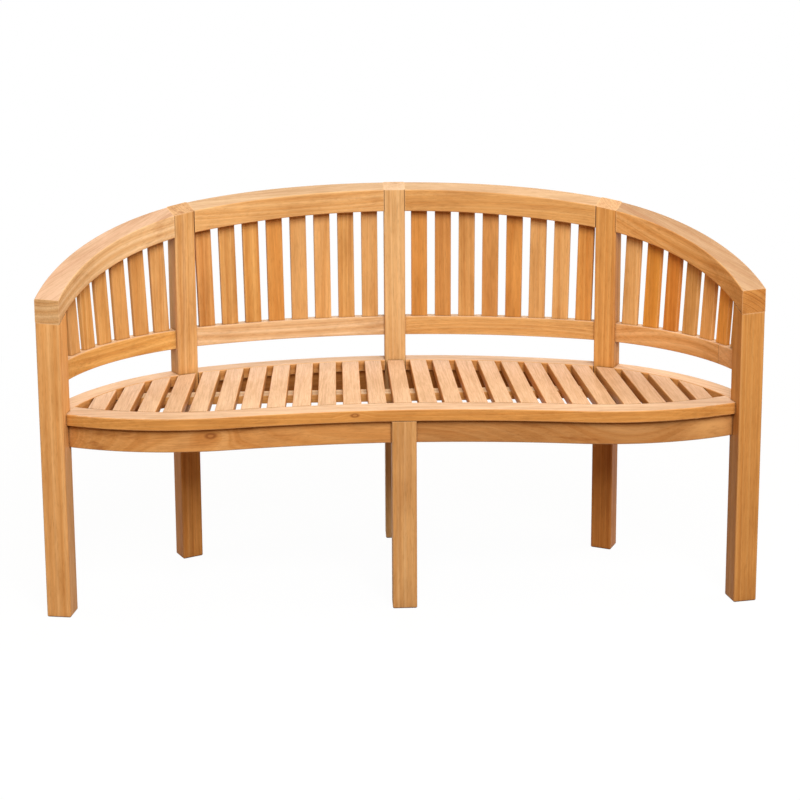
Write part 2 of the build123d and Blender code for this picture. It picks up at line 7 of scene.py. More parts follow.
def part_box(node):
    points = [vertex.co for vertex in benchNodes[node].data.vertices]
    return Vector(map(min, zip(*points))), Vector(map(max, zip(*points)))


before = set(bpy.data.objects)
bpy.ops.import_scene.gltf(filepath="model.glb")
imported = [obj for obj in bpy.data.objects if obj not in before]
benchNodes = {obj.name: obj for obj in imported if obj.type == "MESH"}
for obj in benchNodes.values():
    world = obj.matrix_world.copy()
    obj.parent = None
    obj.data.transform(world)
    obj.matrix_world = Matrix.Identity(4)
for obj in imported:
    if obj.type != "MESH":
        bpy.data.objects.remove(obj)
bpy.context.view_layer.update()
print("bench frame loaded,", len(benchNodes), "nodes")


# view of the bench, a little from the left and above
viewPoint = {
    "spot": (-0.15841, -3.48946, 1.37104),
    "yaw": 0.04621,            # radians, towards the right
    "dip": 0.16379,            # radians, below level
    "roll": -0.00493,
    "lens": 73.153,
    "sensor": 36.0,
    "shiftY": -0.22,
}


def setCamera(look):
    # forward, right and up of the view from its yaw and dip, then turned by the roll
    yaw, dip, roll = look["yaw"], look["dip"], look["roll"]
    level = math.cos(dip)
    ahead = Vector((math.sin(yaw) * level, math.cos(yaw) * level, -math.sin(dip)))
    right = Vector((math.cos(yaw), -math.sin(yaw), 0.0))
    up = right.cross(ahead)
    rightRolled = right * math.cos(roll) + up * math.sin(roll)
    upRolled = up * math.cos(roll) - right * math.sin(roll)
    data = bpy.data.cameras.new("benchCamera")
    data.sensor_width = look["sensor"]
    data.lens = look["lens"]
    data.shift_y = look["shiftY"]
    camera = bpy.data.objects.new("benchCamera", data)
    bpy.context.scene.collection.objects.link(camera)
    turn = Matrix((rightRolled, upRolled, -ahead)).transposed().to_4x4()
    camera.matrix_world = Matrix.Translation(look["spot"]) @ turn
    bpy.context.scene.camera = camera


setCamera(viewPoint)
bpy.context.scene.view_settings.view_transform = "Standard"
print("camera set")


def freshTree(owner):
    # an empty node tree for a material or the world
    owner.use_nodes = True
    owner.node_tree.nodes.clear()
    return owner.node_tree


def putNode(tree, kind, inputs=None, **settings):
    # one shader node, its settings, and for each input a plain value or another node's output
    node = tree.nodes.new(kind)
    for key, value in settings.items():
        setattr(node, key, value)
    for key, source in (inputs or {}).items():
        if hasattr(source, "is_output"):
            tree.links.new(source, node.inputs[key])
        else:
            node.inputs[key].default_value = source
    return node


def mathNode(tree, operation, first, second=0.0):
    return putNode(tree, "ShaderNodeMath", {0: first, 1: second}, operation=operation).outputs[0]


def vectorNode(tree, operation, first, second=(0.0, 0.0, 0.0)):
    node = putNode(tree, "ShaderNodeVectorMath", {0: first, 1: second}, operation=operation)
    return node.outputs["Value" if operation in ("LENGTH", "DOT_PRODUCT") else "Vector"]


def rangeNode(tree, source, fromRange, toRange, smooth=False):
    ends = {"From Min": fromRange[0], "From Max": fromRange[1],
            "To Min": toRange[0], "To Max": toRange[1]}
    ease = "SMOOTHSTEP" if smooth else "LINEAR"
    node = putNode(tree, "ShaderNodeMapRange", {"Value": source, **ends}, interpolation_type=ease)
    return node.outputs["Result"]


def rampNode(tree, source, stops, interpolation="LINEAR"):
    # a stop is a place and a colour, or a place and one level for a grey
    node = putNode(tree, "ShaderNodeValToRGB", {"Fac": source})
    ramp = node.color_ramp
    ramp.interpolation = interpolation
    while len(ramp.elements) < len(stops):
        ramp.elements.new(1.0)
    for element, (place, colour) in zip(ramp.elements, stops):
        element.position = place
        shade = colour if hasattr(colour, "__len__") else (colour, colour, colour)
        element.color = (*shade, 1.0)
    return node.outputs["Color"]


def mixColour(tree, blend, share, under, over):
    # one colour laid over another; a plain colour gets its alpha here
    under, over = (c if hasattr(c, "is_output") else (*c, 1.0) for c in (under, over))
    # in colour mode a Mix node has its factor at input 0 and its colours at 6 and 7
    node = putNode(tree, "ShaderNodeMix", {0: share, 6: under, 7: over},
                   data_type="RGBA", blend_type=blend)
    return node.outputs[2]


def noiseNode(tree, point, noise):
    # noise drawn out along the grain by its own stretch
    stretched = vectorNode(tree, "MULTIPLY", point, noise["stretch"])
    return putNode(tree, "ShaderNodeTexNoise", {
        "Vector": stretched, "Scale": 1.0,
        "Detail": noise["detail"], "Roughness": noise["roughness"]})


def bumpNode(tree, height, relief):
    return putNode(tree, "ShaderNodeBump", {
        "Height": height, "Strength": relief["strength"],
        "Distance": relief["depth"]}).outputs["Normal"]


def linear(red, green, blue):
    # display values from 0 to 255 as scene colour
    shown = np.array((red, green, blue)) / 255.0
    curved = ((shown + 0.055) / 1.055) ** 2.4
    return tuple(float(v) for v in np.where(shown <= 0.04045, shown / 12.92, curved))


white = (1.0, 1.0, 1.0)
middle = (0.5, 0.5, 0.5)                   # mean of a noise colour
acrossOnly = (0.0, 1.0, 1.0)               # leaves out the way along the grain

# the wood itself, shared by all boards
teakWood = {
    "dark": linear(203, 140, 76),
    "honey": linear(211, 151, 87),
    "pale": linear(219, 162, 99),
    "bandStops": (0.30, 0.50, 0.68),       # where dark, honey and pale bands lie
    "streak": linear(152, 88, 36),
    "knot": linear(128, 66, 26),
    "knotShare": 0.75,
    # painted shade in corners, and the dark glue line of a spliced board
    "cornerShadeAndSeam": linear(70, 36, 14),
    "seamShare": 0.6,
    "shade": (0.50, 0.36, 0.24),           # painted shade in narrow gaps
    "sawnDark": (0.60, 0.41, 0.22),
    "sawnPale": (0.88, 0.71, 0.44),
    "sawnFacing": (0.70, 0.92),            # how squarely a face cuts the grain
    # painted highlight: the colour and share with which eased edges are painted paler
    "edgeHighlight": linear(238, 196, 148),
    "highlightShare": 0.45,
    "edgeRadius": 0.0035,
    "edgeSamples": 4,
    "gapReach": 0.05,                      # how far a face looks for its neighbours, for the painted shade in gaps
    "cornerReach": 0.008,
    "gapSamples": 6,
    "poreShare": 0.55,
    "underSeatFade": 0.05,                      # half the height over which the painted shade under the seat fades out
    "roughness": (0.42, 0.58),
    "gloss": 0.16,
    "ringWidth": 0.0042,
    "wobble": 0.0045,
    "slatJump": (0.9, 0.12, 0.06),         # largest shift of the grain from slat to slat
}

# noise of the wood: waves to the metre along the grain and across it
woodNoise = {
    "wander": {"stretch": (1.1, 6.0, 6.0), "detail": 2.0, "roughness": 0.5},
    "streaks": {"stretch": (1.5, 60.0, 60.0), "detail": 3.0, "roughness": 0.6},
    "fibres": {"stretch": (16.0, 330.0, 330.0), "detail": 2.0, "roughness": 0.6},
    "pores": {"stretch": (45.0, 1500.0, 1500.0), "detail": 1.0, "roughness": 0.5},
    "flecks": {"stretch": (55.0, 400.0, 400.0), "detail": 1.0, "roughness": 0.5},
    "blotches": {"stretch": (6.0, 22.0, 22.0), "detail": 3.0, "roughness": 0.6},
}
# noise from ring to ring: slow bands and fine lines
ringNoise = {
    "bands": {"Scale": 0.45, "Detail": 3.0, "Roughness": 0.6},
    "lines": {"Scale": 1.9, "Detail": 1.0, "Roughness": 0.5},
}
# how each noise shades the wood
woodRamps = {
    "lines": [(0.28, (0.84, 0.80, 0.74)), (0.42, white)],
    "streaks": [(0.54, 0.0), (0.72, 1.0)],
    "fibres": [(0.30, 0.90), (0.70, 1.06)],
    "blotches": [(0.30, (0.83, 0.77, 0.69)), (0.50, white), (0.70, (1.07, 1.09, 1.12))],
    "flecks": [(0.30, (0.76, 0.68, 0.56)), (0.44, white)],
    "pores": [(0.26, 0.62), (0.36, 1.0)],
    "smear": [(0.38, 0.35), (0.56, 1.0)],
    "sawn": [(0.34, teakWood["sawnDark"]), (0.56, teakWood["sawnPale"])],
    "edgeMask": [(0.90, 1.0), (0.995, 0.0)],
    "gapShade": [(0.12, teakWood["shade"]), (0.55, white)],
    # painted shade in corners: occlusion within a few mm turned to a share
    "corner": [(0.30, 1.0), (0.72, 0.0)],
    "knot": [(0.0, 0.45), (0.28, 0.30), (0.46, 1.0), (0.62, 0.85), (1.0, 0.0)],
}
fibreRange = (0.3, 0.7)                    # most of the fibre noise lies between these
upperFacing = (0.72, 0.92)                 # upward part of a normal, from no painted top light to its full share
topLitFibres = (0.85, 1.08)                # painted top light between fibres and on them
knotShape = {"narrow": (0.5, 0.0, 1.0), "reach": 4.5, "swing": 1.6}    # in knot sizes
woodRelief = {"lines": 0.5, "fibres": 0.5, "pores": 0.35, "strength": 0.28, "depth": 0.0006}

# a board without marks of its own: shares of each finish, of the painted top light and of the
# painted shade
plainBoard = {
    "tone": white,
    "topLitColour": linear(231, 199, 166),     # upper faces painted paler: painted top light
    "topLitShare": 0.75,
    "lines": 0.32,
    "streak": 0.30,
    "blotch": 0.8,
    "fleck": 0.36,
    "sawn": 0.5,
    # shares of the painted shade in gaps and in corners
    "gapShade": 1.0,
    "corner": 0.75,
    "knots": (),
    "stains": (),
}


def spliceJump(tree, place, point, splice):
    # a second board glued on: past the joint the grain jumps, and the joint is a thin line
    off = vectorNode(tree, "SUBTRACT", place, splice["spot"])
    past = vectorNode(tree, "DOT_PRODUCT", off, splice["along"])
    beyond = mathNode(tree, "GREATER_THAN", past, 0.0)
    seam = mathNode(tree, "LESS_THAN", mathNode(tree, "ABSOLUTE", past), splice["seam"])
    step = putNode(tree, "ShaderNodeCombineXYZ", {0: beyond, 1: beyond, 2: beyond}).outputs[0]
    jump = vectorNode(tree, "MULTIPLY", step, splice["jump"])
    return vectorNode(tree, "ADD", point, jump), beyond, seam


def slatJump(tree, place, point, slats):
    # the slat's number from its angle about the panel's arc, and a chance shift for each number
    off = vectorNode(tree, "SUBTRACT", place, (*slats["arcCentre"], 0.0))
    parts = putNode(tree, "ShaderNodeSeparateXYZ", {0: off}).outputs
    angle = mathNode(tree, "ARCTAN2", parts["X"], parts["Y"])
    pastFirst = mathNode(tree, "SUBTRACT", angle, math.radians(slats["firstAngle"]))
    count = mathNode(tree, "DIVIDE", pastFirst, math.radians(slats["pitchAngle"]))
    number = mathNode(tree, "ROUND", count)
    seeded = mathNode(tree, "ADD", number, slats["seed"])
    draw = putNode(tree, "ShaderNodeTexWhiteNoise", {"W": seeded}, noise_dimensions="1D")
    spread = vectorNode(tree, "SUBTRACT", draw.outputs["Color"], middle)
    jump = vectorNode(tree, "MULTIPLY", spread, teakWood["slatJump"])
    # the slats' tones are equal steps of one ramp, read at the middle of each step
    tones = slats["tones"]
    share = mathNode(tree, "DIVIDE", mathNode(tree, "ADD", number, 0.5), len(tones))
    stops = [(i / len(tones), tone) for i, tone in enumerate(tones)]
    return vectorNode(tree, "ADD", point, jump), rampNode(tree, share, stops, "CONSTANT")


def knotSwing(tree, bent, radius, knots, toBoard):
    # rings swing wide round a knot: the nearer to its middle, the more is added to the distance
    core = None
    for knot in knots:
        off = vectorNode(tree, "SUBTRACT", bent, toBoard(knot["spot"]))
        reach = vectorNode(tree, "LENGTH", vectorNode(tree, "MULTIPLY", off, knotShape["narrow"]))
        size = knot["size"]
        swing = rangeNode(tree, reach, (0.0, size * knotShape["reach"]),
                          (size * knotShape["swing"], 0.0), smooth=True)
        radius = mathNode(tree, "ADD", radius, swing)
        heart = rampNode(tree, mathNode(tree, "DIVIDE", reach, size), woodRamps["knot"])
        core = mathNode(tree, "MAXIMUM", core, heart) if core else heart
    return radius, core


def stainSmear(tree, body, bent, streaks, stain, toBoard):
    # a darker smear, or a paler one of sapwood, drawn out along the grain
    off = vectorNode(tree, "SUBTRACT", bent, toBoard(stain["spot"]))
    away = vectorNode(tree, "MULTIPLY", off, tuple(1.0 / reach for reach in stain["reach"]))
    smear = rangeNode(tree, vectorNode(tree, "LENGTH", away), (0.0, 1.0),
                      (stain["share"], 0.0), smooth=True)
    share = mathNode(tree, "MULTIPLY", smear, rampNode(tree, streaks, woodRamps["smear"]))
    return mixColour(tree, "MIX", share, body, teakWood[stain.get("kind", "streak")])


def paintedHighlightAndShade(tree, body, normal, board):
    # painted highlight: edges paler; painted shade: gaps and corners darker
    rounded = putNode(tree, "ShaderNodeBevel", {"Radius": teakWood["edgeRadius"]},
                      samples=teakWood["edgeSamples"]).outputs["Normal"]
    facing = vectorNode(tree, "DOT_PRODUCT", rounded, normal)
    edgeMask = rampNode(tree, facing, woodRamps["edgeMask"])
    gapShade, corner = (putNode(tree, "ShaderNodeAmbientOcclusion", {"Distance": teakWood[reach]},
                           samples=teakWood["gapSamples"]).outputs["AO"]
                   for reach in ("gapReach", "cornerReach"))
    # painted shade: faces with neighbours within a few cm are darkened
    body = mixColour(tree, "MULTIPLY", board["gapShade"], body, rampNode(tree, gapShade, woodRamps["gapShade"]))
    # painted shade in corners within a few mm
    cornerShade = rampNode(tree, corner, woodRamps["corner"])
    # painted highlight on the edges, kept out of the corners
    highlightMask = mathNode(tree, "MULTIPLY", edgeMask, mathNode(tree, "SUBTRACT", 1.0, cornerShade))
    highlightShare = mathNode(tree, "MULTIPLY", highlightMask, teakWood["highlightShare"])
    body = mixColour(tree, "MIX", highlightShare, body, teakWood["edgeHighlight"])
    cornerShadeShare = mathNode(tree, "MULTIPLY", cornerShade, board["corner"])
    return mixColour(tree, "MIX", cornerShadeShare, body, teakWood["cornerShadeAndSeam"])


def teakFinish(label, board, slats=None):
    # growth rings are bands of the distance from a pith line that runs along the board's grain,
    # bent by slow noise; streaks, fibres and pores are noise drawn out along the same line
    material = bpy.data.materials.new(label)
    tree = freshTree(material)
    grain = Vector(board["grain"]).normalized()
    turn = grain.rotation_difference(Vector((1, 0, 0)))
    pith = turn @ (Vector(board["centre"]) + Vector(board["pith"]))

    def toBoard(spot):                     # a spot on the bench, seen along the board's grain
        return turn @ Vector(spot) - pith

    place = putNode(tree, "ShaderNodeTexCoord").outputs["Object"]
    point = putNode(tree, "ShaderNodeMapping", {
        "Vector": place, "Location": -pith, "Rotation": turn.to_euler()}).outputs["Vector"]
    slatTone = beyond = None
    if "splice" in board:
        point, beyond, seam = spliceJump(tree, place, point, board["splice"])
    if slats:
        point, slatTone = slatJump(tree, place, point, slats)
    wander = noiseNode(tree, point, woodNoise["wander"]).outputs["Color"]
    sway = (0.0, teakWood["wobble"] * 2, teakWood["wobble"] * 2)
    bend = vectorNode(tree, "MULTIPLY", vectorNode(tree, "SUBTRACT", wander, middle), sway)
    bent = vectorNode(tree, "ADD", point, bend)
    radius = vectorNode(tree, "LENGTH", vectorNode(tree, "MULTIPLY", bent, acrossOnly))
    radius, core = knotSwing(tree, bent, radius, board["knots"], toBoard)
    ring = mathNode(tree, "DIVIDE", radius, teakWood["ringWidth"])
    bands, lines = (putNode(tree, "ShaderNodeTexNoise", {"W": ring, **ringNoise[kind]},
                            noise_dimensions="1D").outputs["Fac"] for kind in ("bands", "lines"))
    streaks = noiseNode(tree, bent, woodNoise["streaks"]).outputs["Fac"]
    fibres, pores, flecks, blotches = (noiseNode(tree, point, woodNoise[kind]).outputs["Fac"]
                                       for kind in ("fibres", "pores", "flecks", "blotches"))

    # slow bands of colour, then the tone of this board
    bandColours = (teakWood["dark"], teakWood["honey"], teakWood["pale"])
    body = rampNode(tree, bands, list(zip(teakWood["bandStops"], bandColours)))
    body = mixColour(tree, "MULTIPLY", 1.0, body, board["tone"])
    if slatTone:
        body = mixColour(tree, "MULTIPLY", 1.0, body, slatTone)
    if beyond:
        body = mixColour(tree, "MULTIPLY", beyond, body, board["splice"]["tone"])
    if "underSeatShade" in board:
        # painted shade: below the seat the back posts are painted darker and browner, where the
        # seat shades them
        underSeatShade, fade = board["underSeatShade"], teakWood["underSeatFade"]
        level = putNode(tree, "ShaderNodeSeparateXYZ", {0: place}).outputs["Z"]
        shadedBelow = rangeNode(tree, level, (underSeatShade["below"] - fade, underSeatShade["below"] + fade),
                        (1.0, 0.0), smooth=True)
        body = mixColour(tree, "MULTIPLY", shadedBelow, body, underSeatShade["tone"])
    normal = putNode(tree, "ShaderNodeNewGeometry").outputs["Normal"]
    # painted light: faces turned upward are painted paler, as if lit from above
    rise = putNode(tree, "ShaderNodeSeparateXYZ", {0: normal}).outputs["Z"]
    topLitFacing = rampNode(tree, rise, list(zip(upperFacing, (0.0, board["topLitShare"]))))
    topLitByFibre = rangeNode(tree, fibres, fibreRange, topLitFibres)
    topLitMask = mathNode(tree, "MULTIPLY", topLitFacing, topLitByFibre)
    body = mixColour(tree, "MIX", topLitMask, body, board["topLitColour"])

    # grain detail over plain faces and faces with painted top light alike
    lineShade = rampNode(tree, lines, woodRamps["lines"])
    body = mixColour(tree, "MULTIPLY", board["lines"], body, lineShade)
    streaked = rampNode(tree, streaks, woodRamps["streaks"])
    streakShare = mathNode(tree, "MULTIPLY", streaked, board["streak"])
    body = mixColour(tree, "MIX", streakShare, body, teakWood["streak"])
    poreShade = rampNode(tree, pores, woodRamps["pores"])
    for share, shade in (
        (1.0, rampNode(tree, fibres, woodRamps["fibres"])),
        (board["blotch"], rampNode(tree, blotches, woodRamps["blotches"])),
        (board["fleck"], rampNode(tree, flecks, woodRamps["flecks"])),
        (teakWood["poreShare"], poreShade),
    ):
        body = mixColour(tree, "MULTIPLY", share, body, shade)
    for stain in board["stains"]:
        body = stainSmear(tree, body, bent, streaks, stain, toBoard)
    if core:
        knotShare = mathNode(tree, "MULTIPLY", core, teakWood["knotShare"])
        body = mixColour(tree, "MIX", knotShare, body, teakWood["knot"])
    if beyond:
        seamShare = mathNode(tree, "MULTIPLY", seam, teakWood["seamShare"])
        body = mixColour(tree, "MIX", seamShare, body, teakWood["cornerShadeAndSeam"])

    # sawn ends across the grain show their rings more and drink more oil
    along = mathNode(tree, "ABSOLUTE", vectorNode(tree, "DOT_PRODUCT", normal, grain))
    sawn = rangeNode(tree, along, teakWood["sawnFacing"], (0.0, 1.0))
    sawnShare = mathNode(tree, "MULTIPLY", sawn, board["sawn"])
    body = mixColour(tree, "MULTIPLY", sawnShare, body, rampNode(tree, lines, woodRamps["sawn"]))
    body = paintedHighlightAndShade(tree, body, normal, board)

    smooth, rough = teakWood["roughness"]
    roughness = rangeNode(tree, fibres, fibreRange, (rough, smooth))
    lineRise = mathNode(tree, "MULTIPLY", lines, woodRelief["lines"])
    fibreRise = mathNode(tree, "MULTIPLY", fibres, woodRelief["fibres"])
    poreRise = mathNode(tree, "MULTIPLY", poreShade, woodRelief["pores"])
    relief = mathNode(tree, "ADD", mathNode(tree, "ADD", lineRise, fibreRise), poreRise)
    shader = putNode(tree, "ShaderNodeBsdfPrincipled", {
        "Base Color": body, "Roughness": roughness, "Normal": bumpNode(tree, relief, woodRelief),
        "Specular IOR Level": teakWood["gloss"]})
    putNode(tree, "ShaderNodeOutputMaterial", {"Surface": shader.outputs[0]})
    return material


def dress(name, board, slats=None):
    # gives a bench node its own cut of wood, centred on the node
    node = benchNodes[name]
    low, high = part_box(name)
    cut = {**plainBoard, **board, "centre": (low + high) / 2}
    material = teakFinish("teak_" + name, cut, slats)
    node.data.materials.clear()
    node.data.materials.append(material)


upright = (0.0, 0.01, 1.0)
underSeatLevel = 0.42                           # just under the seat
legBoards = {
    "front_leg_left": {
        "grain": upright, "pith": (0.22, 0.10, 0), "tone": (1.16, 1.23, 1.36),
        "lines": 0.3, "streak": 0.25},
    "front_leg_right": {
        "grain": upright, "pith": (-0.16, 0.05, 0), "tone": (0.88, 0.83, 0.70)},
    "front_leg_centre": {
        "grain": upright, "pith": (0.18, 0.12, 0), "tone": (0.99, 1.10, 1.30), "lines": 0.3},
    "back_post_left": {
        "grain": upright, "pith": (0.10, 0.06, 0), "tone": (0.96, 1.10, 1.34),
        "streak": 0.7, "sawn": 0.6, "underSeatShade": {"below": underSeatLevel, "tone": (1.06, 0.84, 0.56)}},
    "back_post_centre": {
        "grain": upright, "pith": (-0.12, 0.10, 0), "tone": (1.00, 1.23, 1.68),
        "lines": 0.3, "sawn": 0.1, "topLitShare": 0.9},
    "back_post_right": {
        "grain": upright, "pith": (0.15, 0.03, 0), "tone": (0.93, 0.93, 0.84),
        "underSeatShade": {"below": underSeatLevel, "tone": (0.90, 0.72, 0.56)}},
}
for name, board in legBoards.items():
    dress(name, board)
print("legs and posts dressed")

lengthways = (1, 0, 0)
frontToBack = (0, 1, 0)
backLeft = (0.98, 0.20, 0)                 # chords of the curved pieces
backRight = (0.98, -0.20, 0)
armLeft = (0.59, 0.81, 0)
armRight = (0.59, -0.81, 0)
railBoards = {
    "top_rail_left": {
        "grain": (0.98, 0.20, 0.03), "pith": (0, 0.03, 0.15), "tone": (1.00, 1.15, 1.40),
        "topLitColour": linear(206, 184, 160), "topLitShare": 0.5},
    "top_rail_right": {
        "grain": (0.98, -0.20, -0.03), "pith": (0, 0.05, -0.20), "tone": (0.93, 1.00, 1.05),
        "topLitColour": linear(208, 183, 156), "topLitShare": 0.55},
    "arm_left": {
        "grain": (0.57, 0.77, 0.27), "pith": (0.04, 0.0, 0.14), "tone": (1.05, 1.38, 2.20),
        "topLitColour": linear(209, 172, 152), "topLitShare": 0.6, "lines": 0.3, "sawn": 0.55},
    "arm_right": {
        "grain": (0.57, -0.77, -0.27), "pith": (-0.07, -0.02, -0.10), "tone": (0.99, 1.02, 1.05),
        "topLitColour": linear(172, 146, 122), "topLitShare": 0.7, "lines": 0.6, "sawn": 0.9},
    "lower_rail_left": {
        "grain": backLeft, "pith": (0, 0.05, 0.12), "tone": (1.05, 1.38, 2.30), "lines": 0.25},
    "lower_rail_right": {
        "grain": backRight, "pith": (0, 0.04, -0.16), "tone": (0.96, 1.06, 1.16)},
    "lower_arm_rail_left": {
        "grain": armLeft, "pith": (0.05, 0.0, -0.14), "tone": (0.99, 1.06, 0.95)},
    "lower_arm_rail_right": {
        "grain": armRight, "pith": (-0.06, 0.0, 0.12), "tone": (1.01, 1.07, 1.25),
        "splice": {"spot": (0.685, -0.106, 0.52), "along": (0.376, -0.927, 0.0),
                   "tone": (1.08, 1.16, 1.4), "seam": 0.0006, "jump": (0.37, 0.03, 0.05)}},
    "seat_rim_back_left": {
        "grain": backLeft, "pith": (0, 0.05, -0.12)},
    "seat_rim_back_right": {
        "grain": backRight, "pith": (0, 0.04, -0.10), "tone": (1.0, 0.98, 0.95)},
    "seat_rim_arm_left": {
        "grain": armLeft, "pith": (0.03, 0.0, -0.12), "tone": (1.0, 0.98, 0.95)},
    "seat_rim_arm_right": {
        "grain": armRight, "pith": (-0.02, 0.0, -0.14), "tone": (1.0, 0.97, 0.93)},
    "front_seat_rail": {
        "grain": lengthways, "pith": (0, 0.03, 0.16), "tone": (0.98, 0.92, 0.74),
        "topLitColour": linear(226, 194, 162), "topLitShare": 0.92,
        "knots": [{"spot": (-0.103, -0.215, 0.427), "size": 0.006}]},
    "front_apron_left": {
        "grain": (1, 0.01, 0.03), "pith": (0, 0.09, 0.02), "tone": (0.95, 0.91, 0.86),
        "streak": 0.6, "knots": [{"spot": (-0.401, -0.243, 0.394), "size": 0.008}]},
    "front_apron_right": {
        "grain": (1, 0.02, -0.02), "pith": (0, 0.08, -0.04), "tone": (0.72, 0.68, 0.66),
        "streak": 0.8,
        "stains": [
            {"spot": (0.09, -0.18, 0.381), "reach": (0.075, 0.03, 0.005), "share": 0.6},
            {"spot": (0.66, -0.22, 0.395), "reach": (0.12, 0.09, 0.06), "share": 1.0,
             "kind": "pale"}]},
    # painted shade: the back aprons are toned darker for the shade under the seat
    "back_apron_left": {
        "grain": backLeft, "pith": (0, 0.06, 0.05), "tone": (0.80, 0.70, 0.56)},
    "back_apron_right": {
        "grain": backRight, "pith": (0, 0.09, -0.03), "tone": (0.72, 0.62, 0.48)},
    "arm_apron_left": {"grain": armLeft, "pith": (0.07, 0, 0.03)},
    "arm_apron_right": {"grain": armRight, "pith": (-0.06, 0, -0.04)},
    "bearer_left": {"grain": frontToBack, "pith": (0.04, 0, 0.06)},
    # painted shade: the centre bearer is toned darker for the shade under the seat
    "bearer_centre": {
        "grain": frontToBack, "pith": (-0.05, 0, 0.04), "tone": (0.70, 0.62, 0.50)},
    "bearer_right": {"grain": frontToBack, "pith": (0.03, 0, -0.07)},
    # painted light: the batten is painted brighter and kept out of the painted gap shade, for
    # light falling through the slat gaps
    "seat_batten": {
        "grain": lengthways, "pith": (0, 0.04, -0.06), "tone": (1.15, 1.18, 1.15),
        "topLitColour": linear(252, 224, 180), "topLitShare": 1.0, "gapShade": 0.0, "corner": 0.1},
    "tenon_pegs": {
        "grain": (0.1, 1, 0), "pith": (0.03, 0, 0.05), "tone": (0.85, 0.82, 0.78)},
}
for name, board in railBoards.items():
    dress(name, board)
print("rails and aprons dressed")

seatBoards = {
    "seed": 11,
    "toneSpread": 0.06,
    "warmSpread": 0.03,
    "pithAside": 0.05,
    "pithBelow": (0.04, 0.12),
    "lean": 0.03,
    "litLeftTop": linear(232, 200, 167),      # painted top light of the first slat, on the lit left of the seat
    "shadedRightTop": linear(222, 184, 148),     # and of the last, darker: painted shade on the right of the seat
    "finish": {"topLitShare": 0.86, "fleck": 0.3, "blotch": 0.6, "gapShade": 0.35},
}
seatSlats = sorted(name for name in benchNodes if name.startswith("seat_slat_"))
chance = np.random.default_rng(seatBoards["seed"])
for number, name in enumerate(seatSlats):
    light = 1.0 + chance.normal(0, seatBoards["toneSpread"])
    warm = chance.normal(0, seatBoards["warmSpread"])
    aside = chance.uniform(-seatBoards["pithAside"], seatBoards["pithAside"])
    below = chance.uniform(*seatBoards["pithBelow"])
    lean = chance.uniform(-seatBoards["lean"], seatBoards["lean"])
    share = number / (len(seatSlats) - 1)
    # painted light and shade: the slats' top colour runs from the lit left half to the shaded
    # right half
    ends = zip(seatBoards["litLeftTop"], seatBoards["shadedRightTop"])
    dress(name, {
        "grain": (lean, 1, 0), "pith": (aside, 0.0, -below),
        "tone": (light, light * (1 - warm), light * (1 - 2 * warm)),
        "topLitColour": tuple(left + (right - left) * share for left, right in ends),
        **seatBoards["finish"]})
print("seat slats dressed")

# cuts of slat, most of them from pale to dark
peach = (0.97, 1.07, 1.22)
golden = (0.95, 1.02, 1.04)
sand = (0.88, 0.91, 0.92)
honey = (0.93, 0.95, 0.84)
orange = (0.88, 0.80, 0.60)
brown = (0.84, 0.81, 0.76)
umber = (0.80, 0.74, 0.63)
amber = (0.88, 0.74, 0.38)
russet = (0.88, 0.66, 0.35)
# painted light: flaxen and bright lift the fifth and sixth right arm slats against the shade of
# the leg and arm
flaxen = (1.08, 1.10, 1.10)
bright = (1.24, 1.12, 0.72)
slatBoard = {"grain": upright, "pith": (0, 0.09, 0), "gapShade": 0.5, "blotch": 1.0}
# the panels' arcs in plan: centre in metres, angles in degrees from straight back
slatPanels = {
    "back_slats_left": {
        "arcCentre": (0.0, -1.01865), "firstAngle": -20.35, "pitchAngle": 2.5285, "seed": 3.0,
        "tones": [brown, golden, honey, orange, peach, peach, golden, peach]},
    "back_slats_right": {
        "arcCentre": (0.0, -1.01865), "firstAngle": 2.65, "pitchAngle": 2.5285, "seed": 17.0,
        "tones": [orange, umber, sand, brown, orange, peach, peach, orange]},
    "arm_slats_left": {
        "arcCentre": (-0.27681, -0.27233), "firstAngle": -74.23, "pitchAngle": 6.6233,
        "seed": 29.0, "tones": [peach, peach, golden, golden, sand, sand, peach]},
    "arm_slats_right": {
        "arcCentre": (0.27681, -0.27233), "firstAngle": 34.49, "pitchAngle": 6.6233,
        # painted light in the fifth and sixth tones (flaxen, bright)
        "seed": 41.0, "tones": [peach, amber, russet, golden, flaxen, bright, golden]},
}
for name, panel in slatPanels.items():
    dress(name, slatBoard, panel)
print("back and arm slats dressed")

screwSteel = {
    "colour": linear(168, 164, 156),
    "dullShare": 0.55,                     # what is left of the colour in dull patches
    "patches": {"Scale": 420.0, "Detail": 3.0},
    "patchStops": (0.35, 0.65),
    "scratches": {"stretch": (900.0, 4000.0, 900.0), "detail": 2.0, "roughness": 0.5},
    "roughness": 0.28,
    "scratch": 0.35,                       # roughness added by scratches
    "relief": {"strength": 0.2, "depth": 0.0002},
}


def steelFinish(label, steel):
    # bright zinc with fine turned scratches and a dull patina in slow patches
    material = bpy.data.materials.new(label)
    tree = freshTree(material)
    place = putNode(tree, "ShaderNodeTexCoord").outputs["Object"]
    patches = putNode(tree, "ShaderNodeTexNoise", {
        "Vector": place, **steel["patches"]}).outputs["Fac"]
    scratches = noiseNode(tree, place, steel["scratches"]).outputs["Fac"]
    dull = tuple(steel["dullShare"] * c for c in steel["colour"])
    tone = rampNode(tree, patches, list(zip(steel["patchStops"], (dull, steel["colour"]))))
    smooth = steel["roughness"]
    roughness = rangeNode(tree, scratches, (0.0, 1.0), (smooth, smooth + steel["scratch"]))
    shader = putNode(tree, "ShaderNodeBsdfPrincipled", {
        "Base Color": tone, "Roughness": roughness, "Metallic": 1.0,
        "Normal": bumpNode(tree, scratches, steel["relief"])})
    putNode(tree, "ShaderNodeOutputMaterial", {"Surface": shader.outputs[0]})
    return material


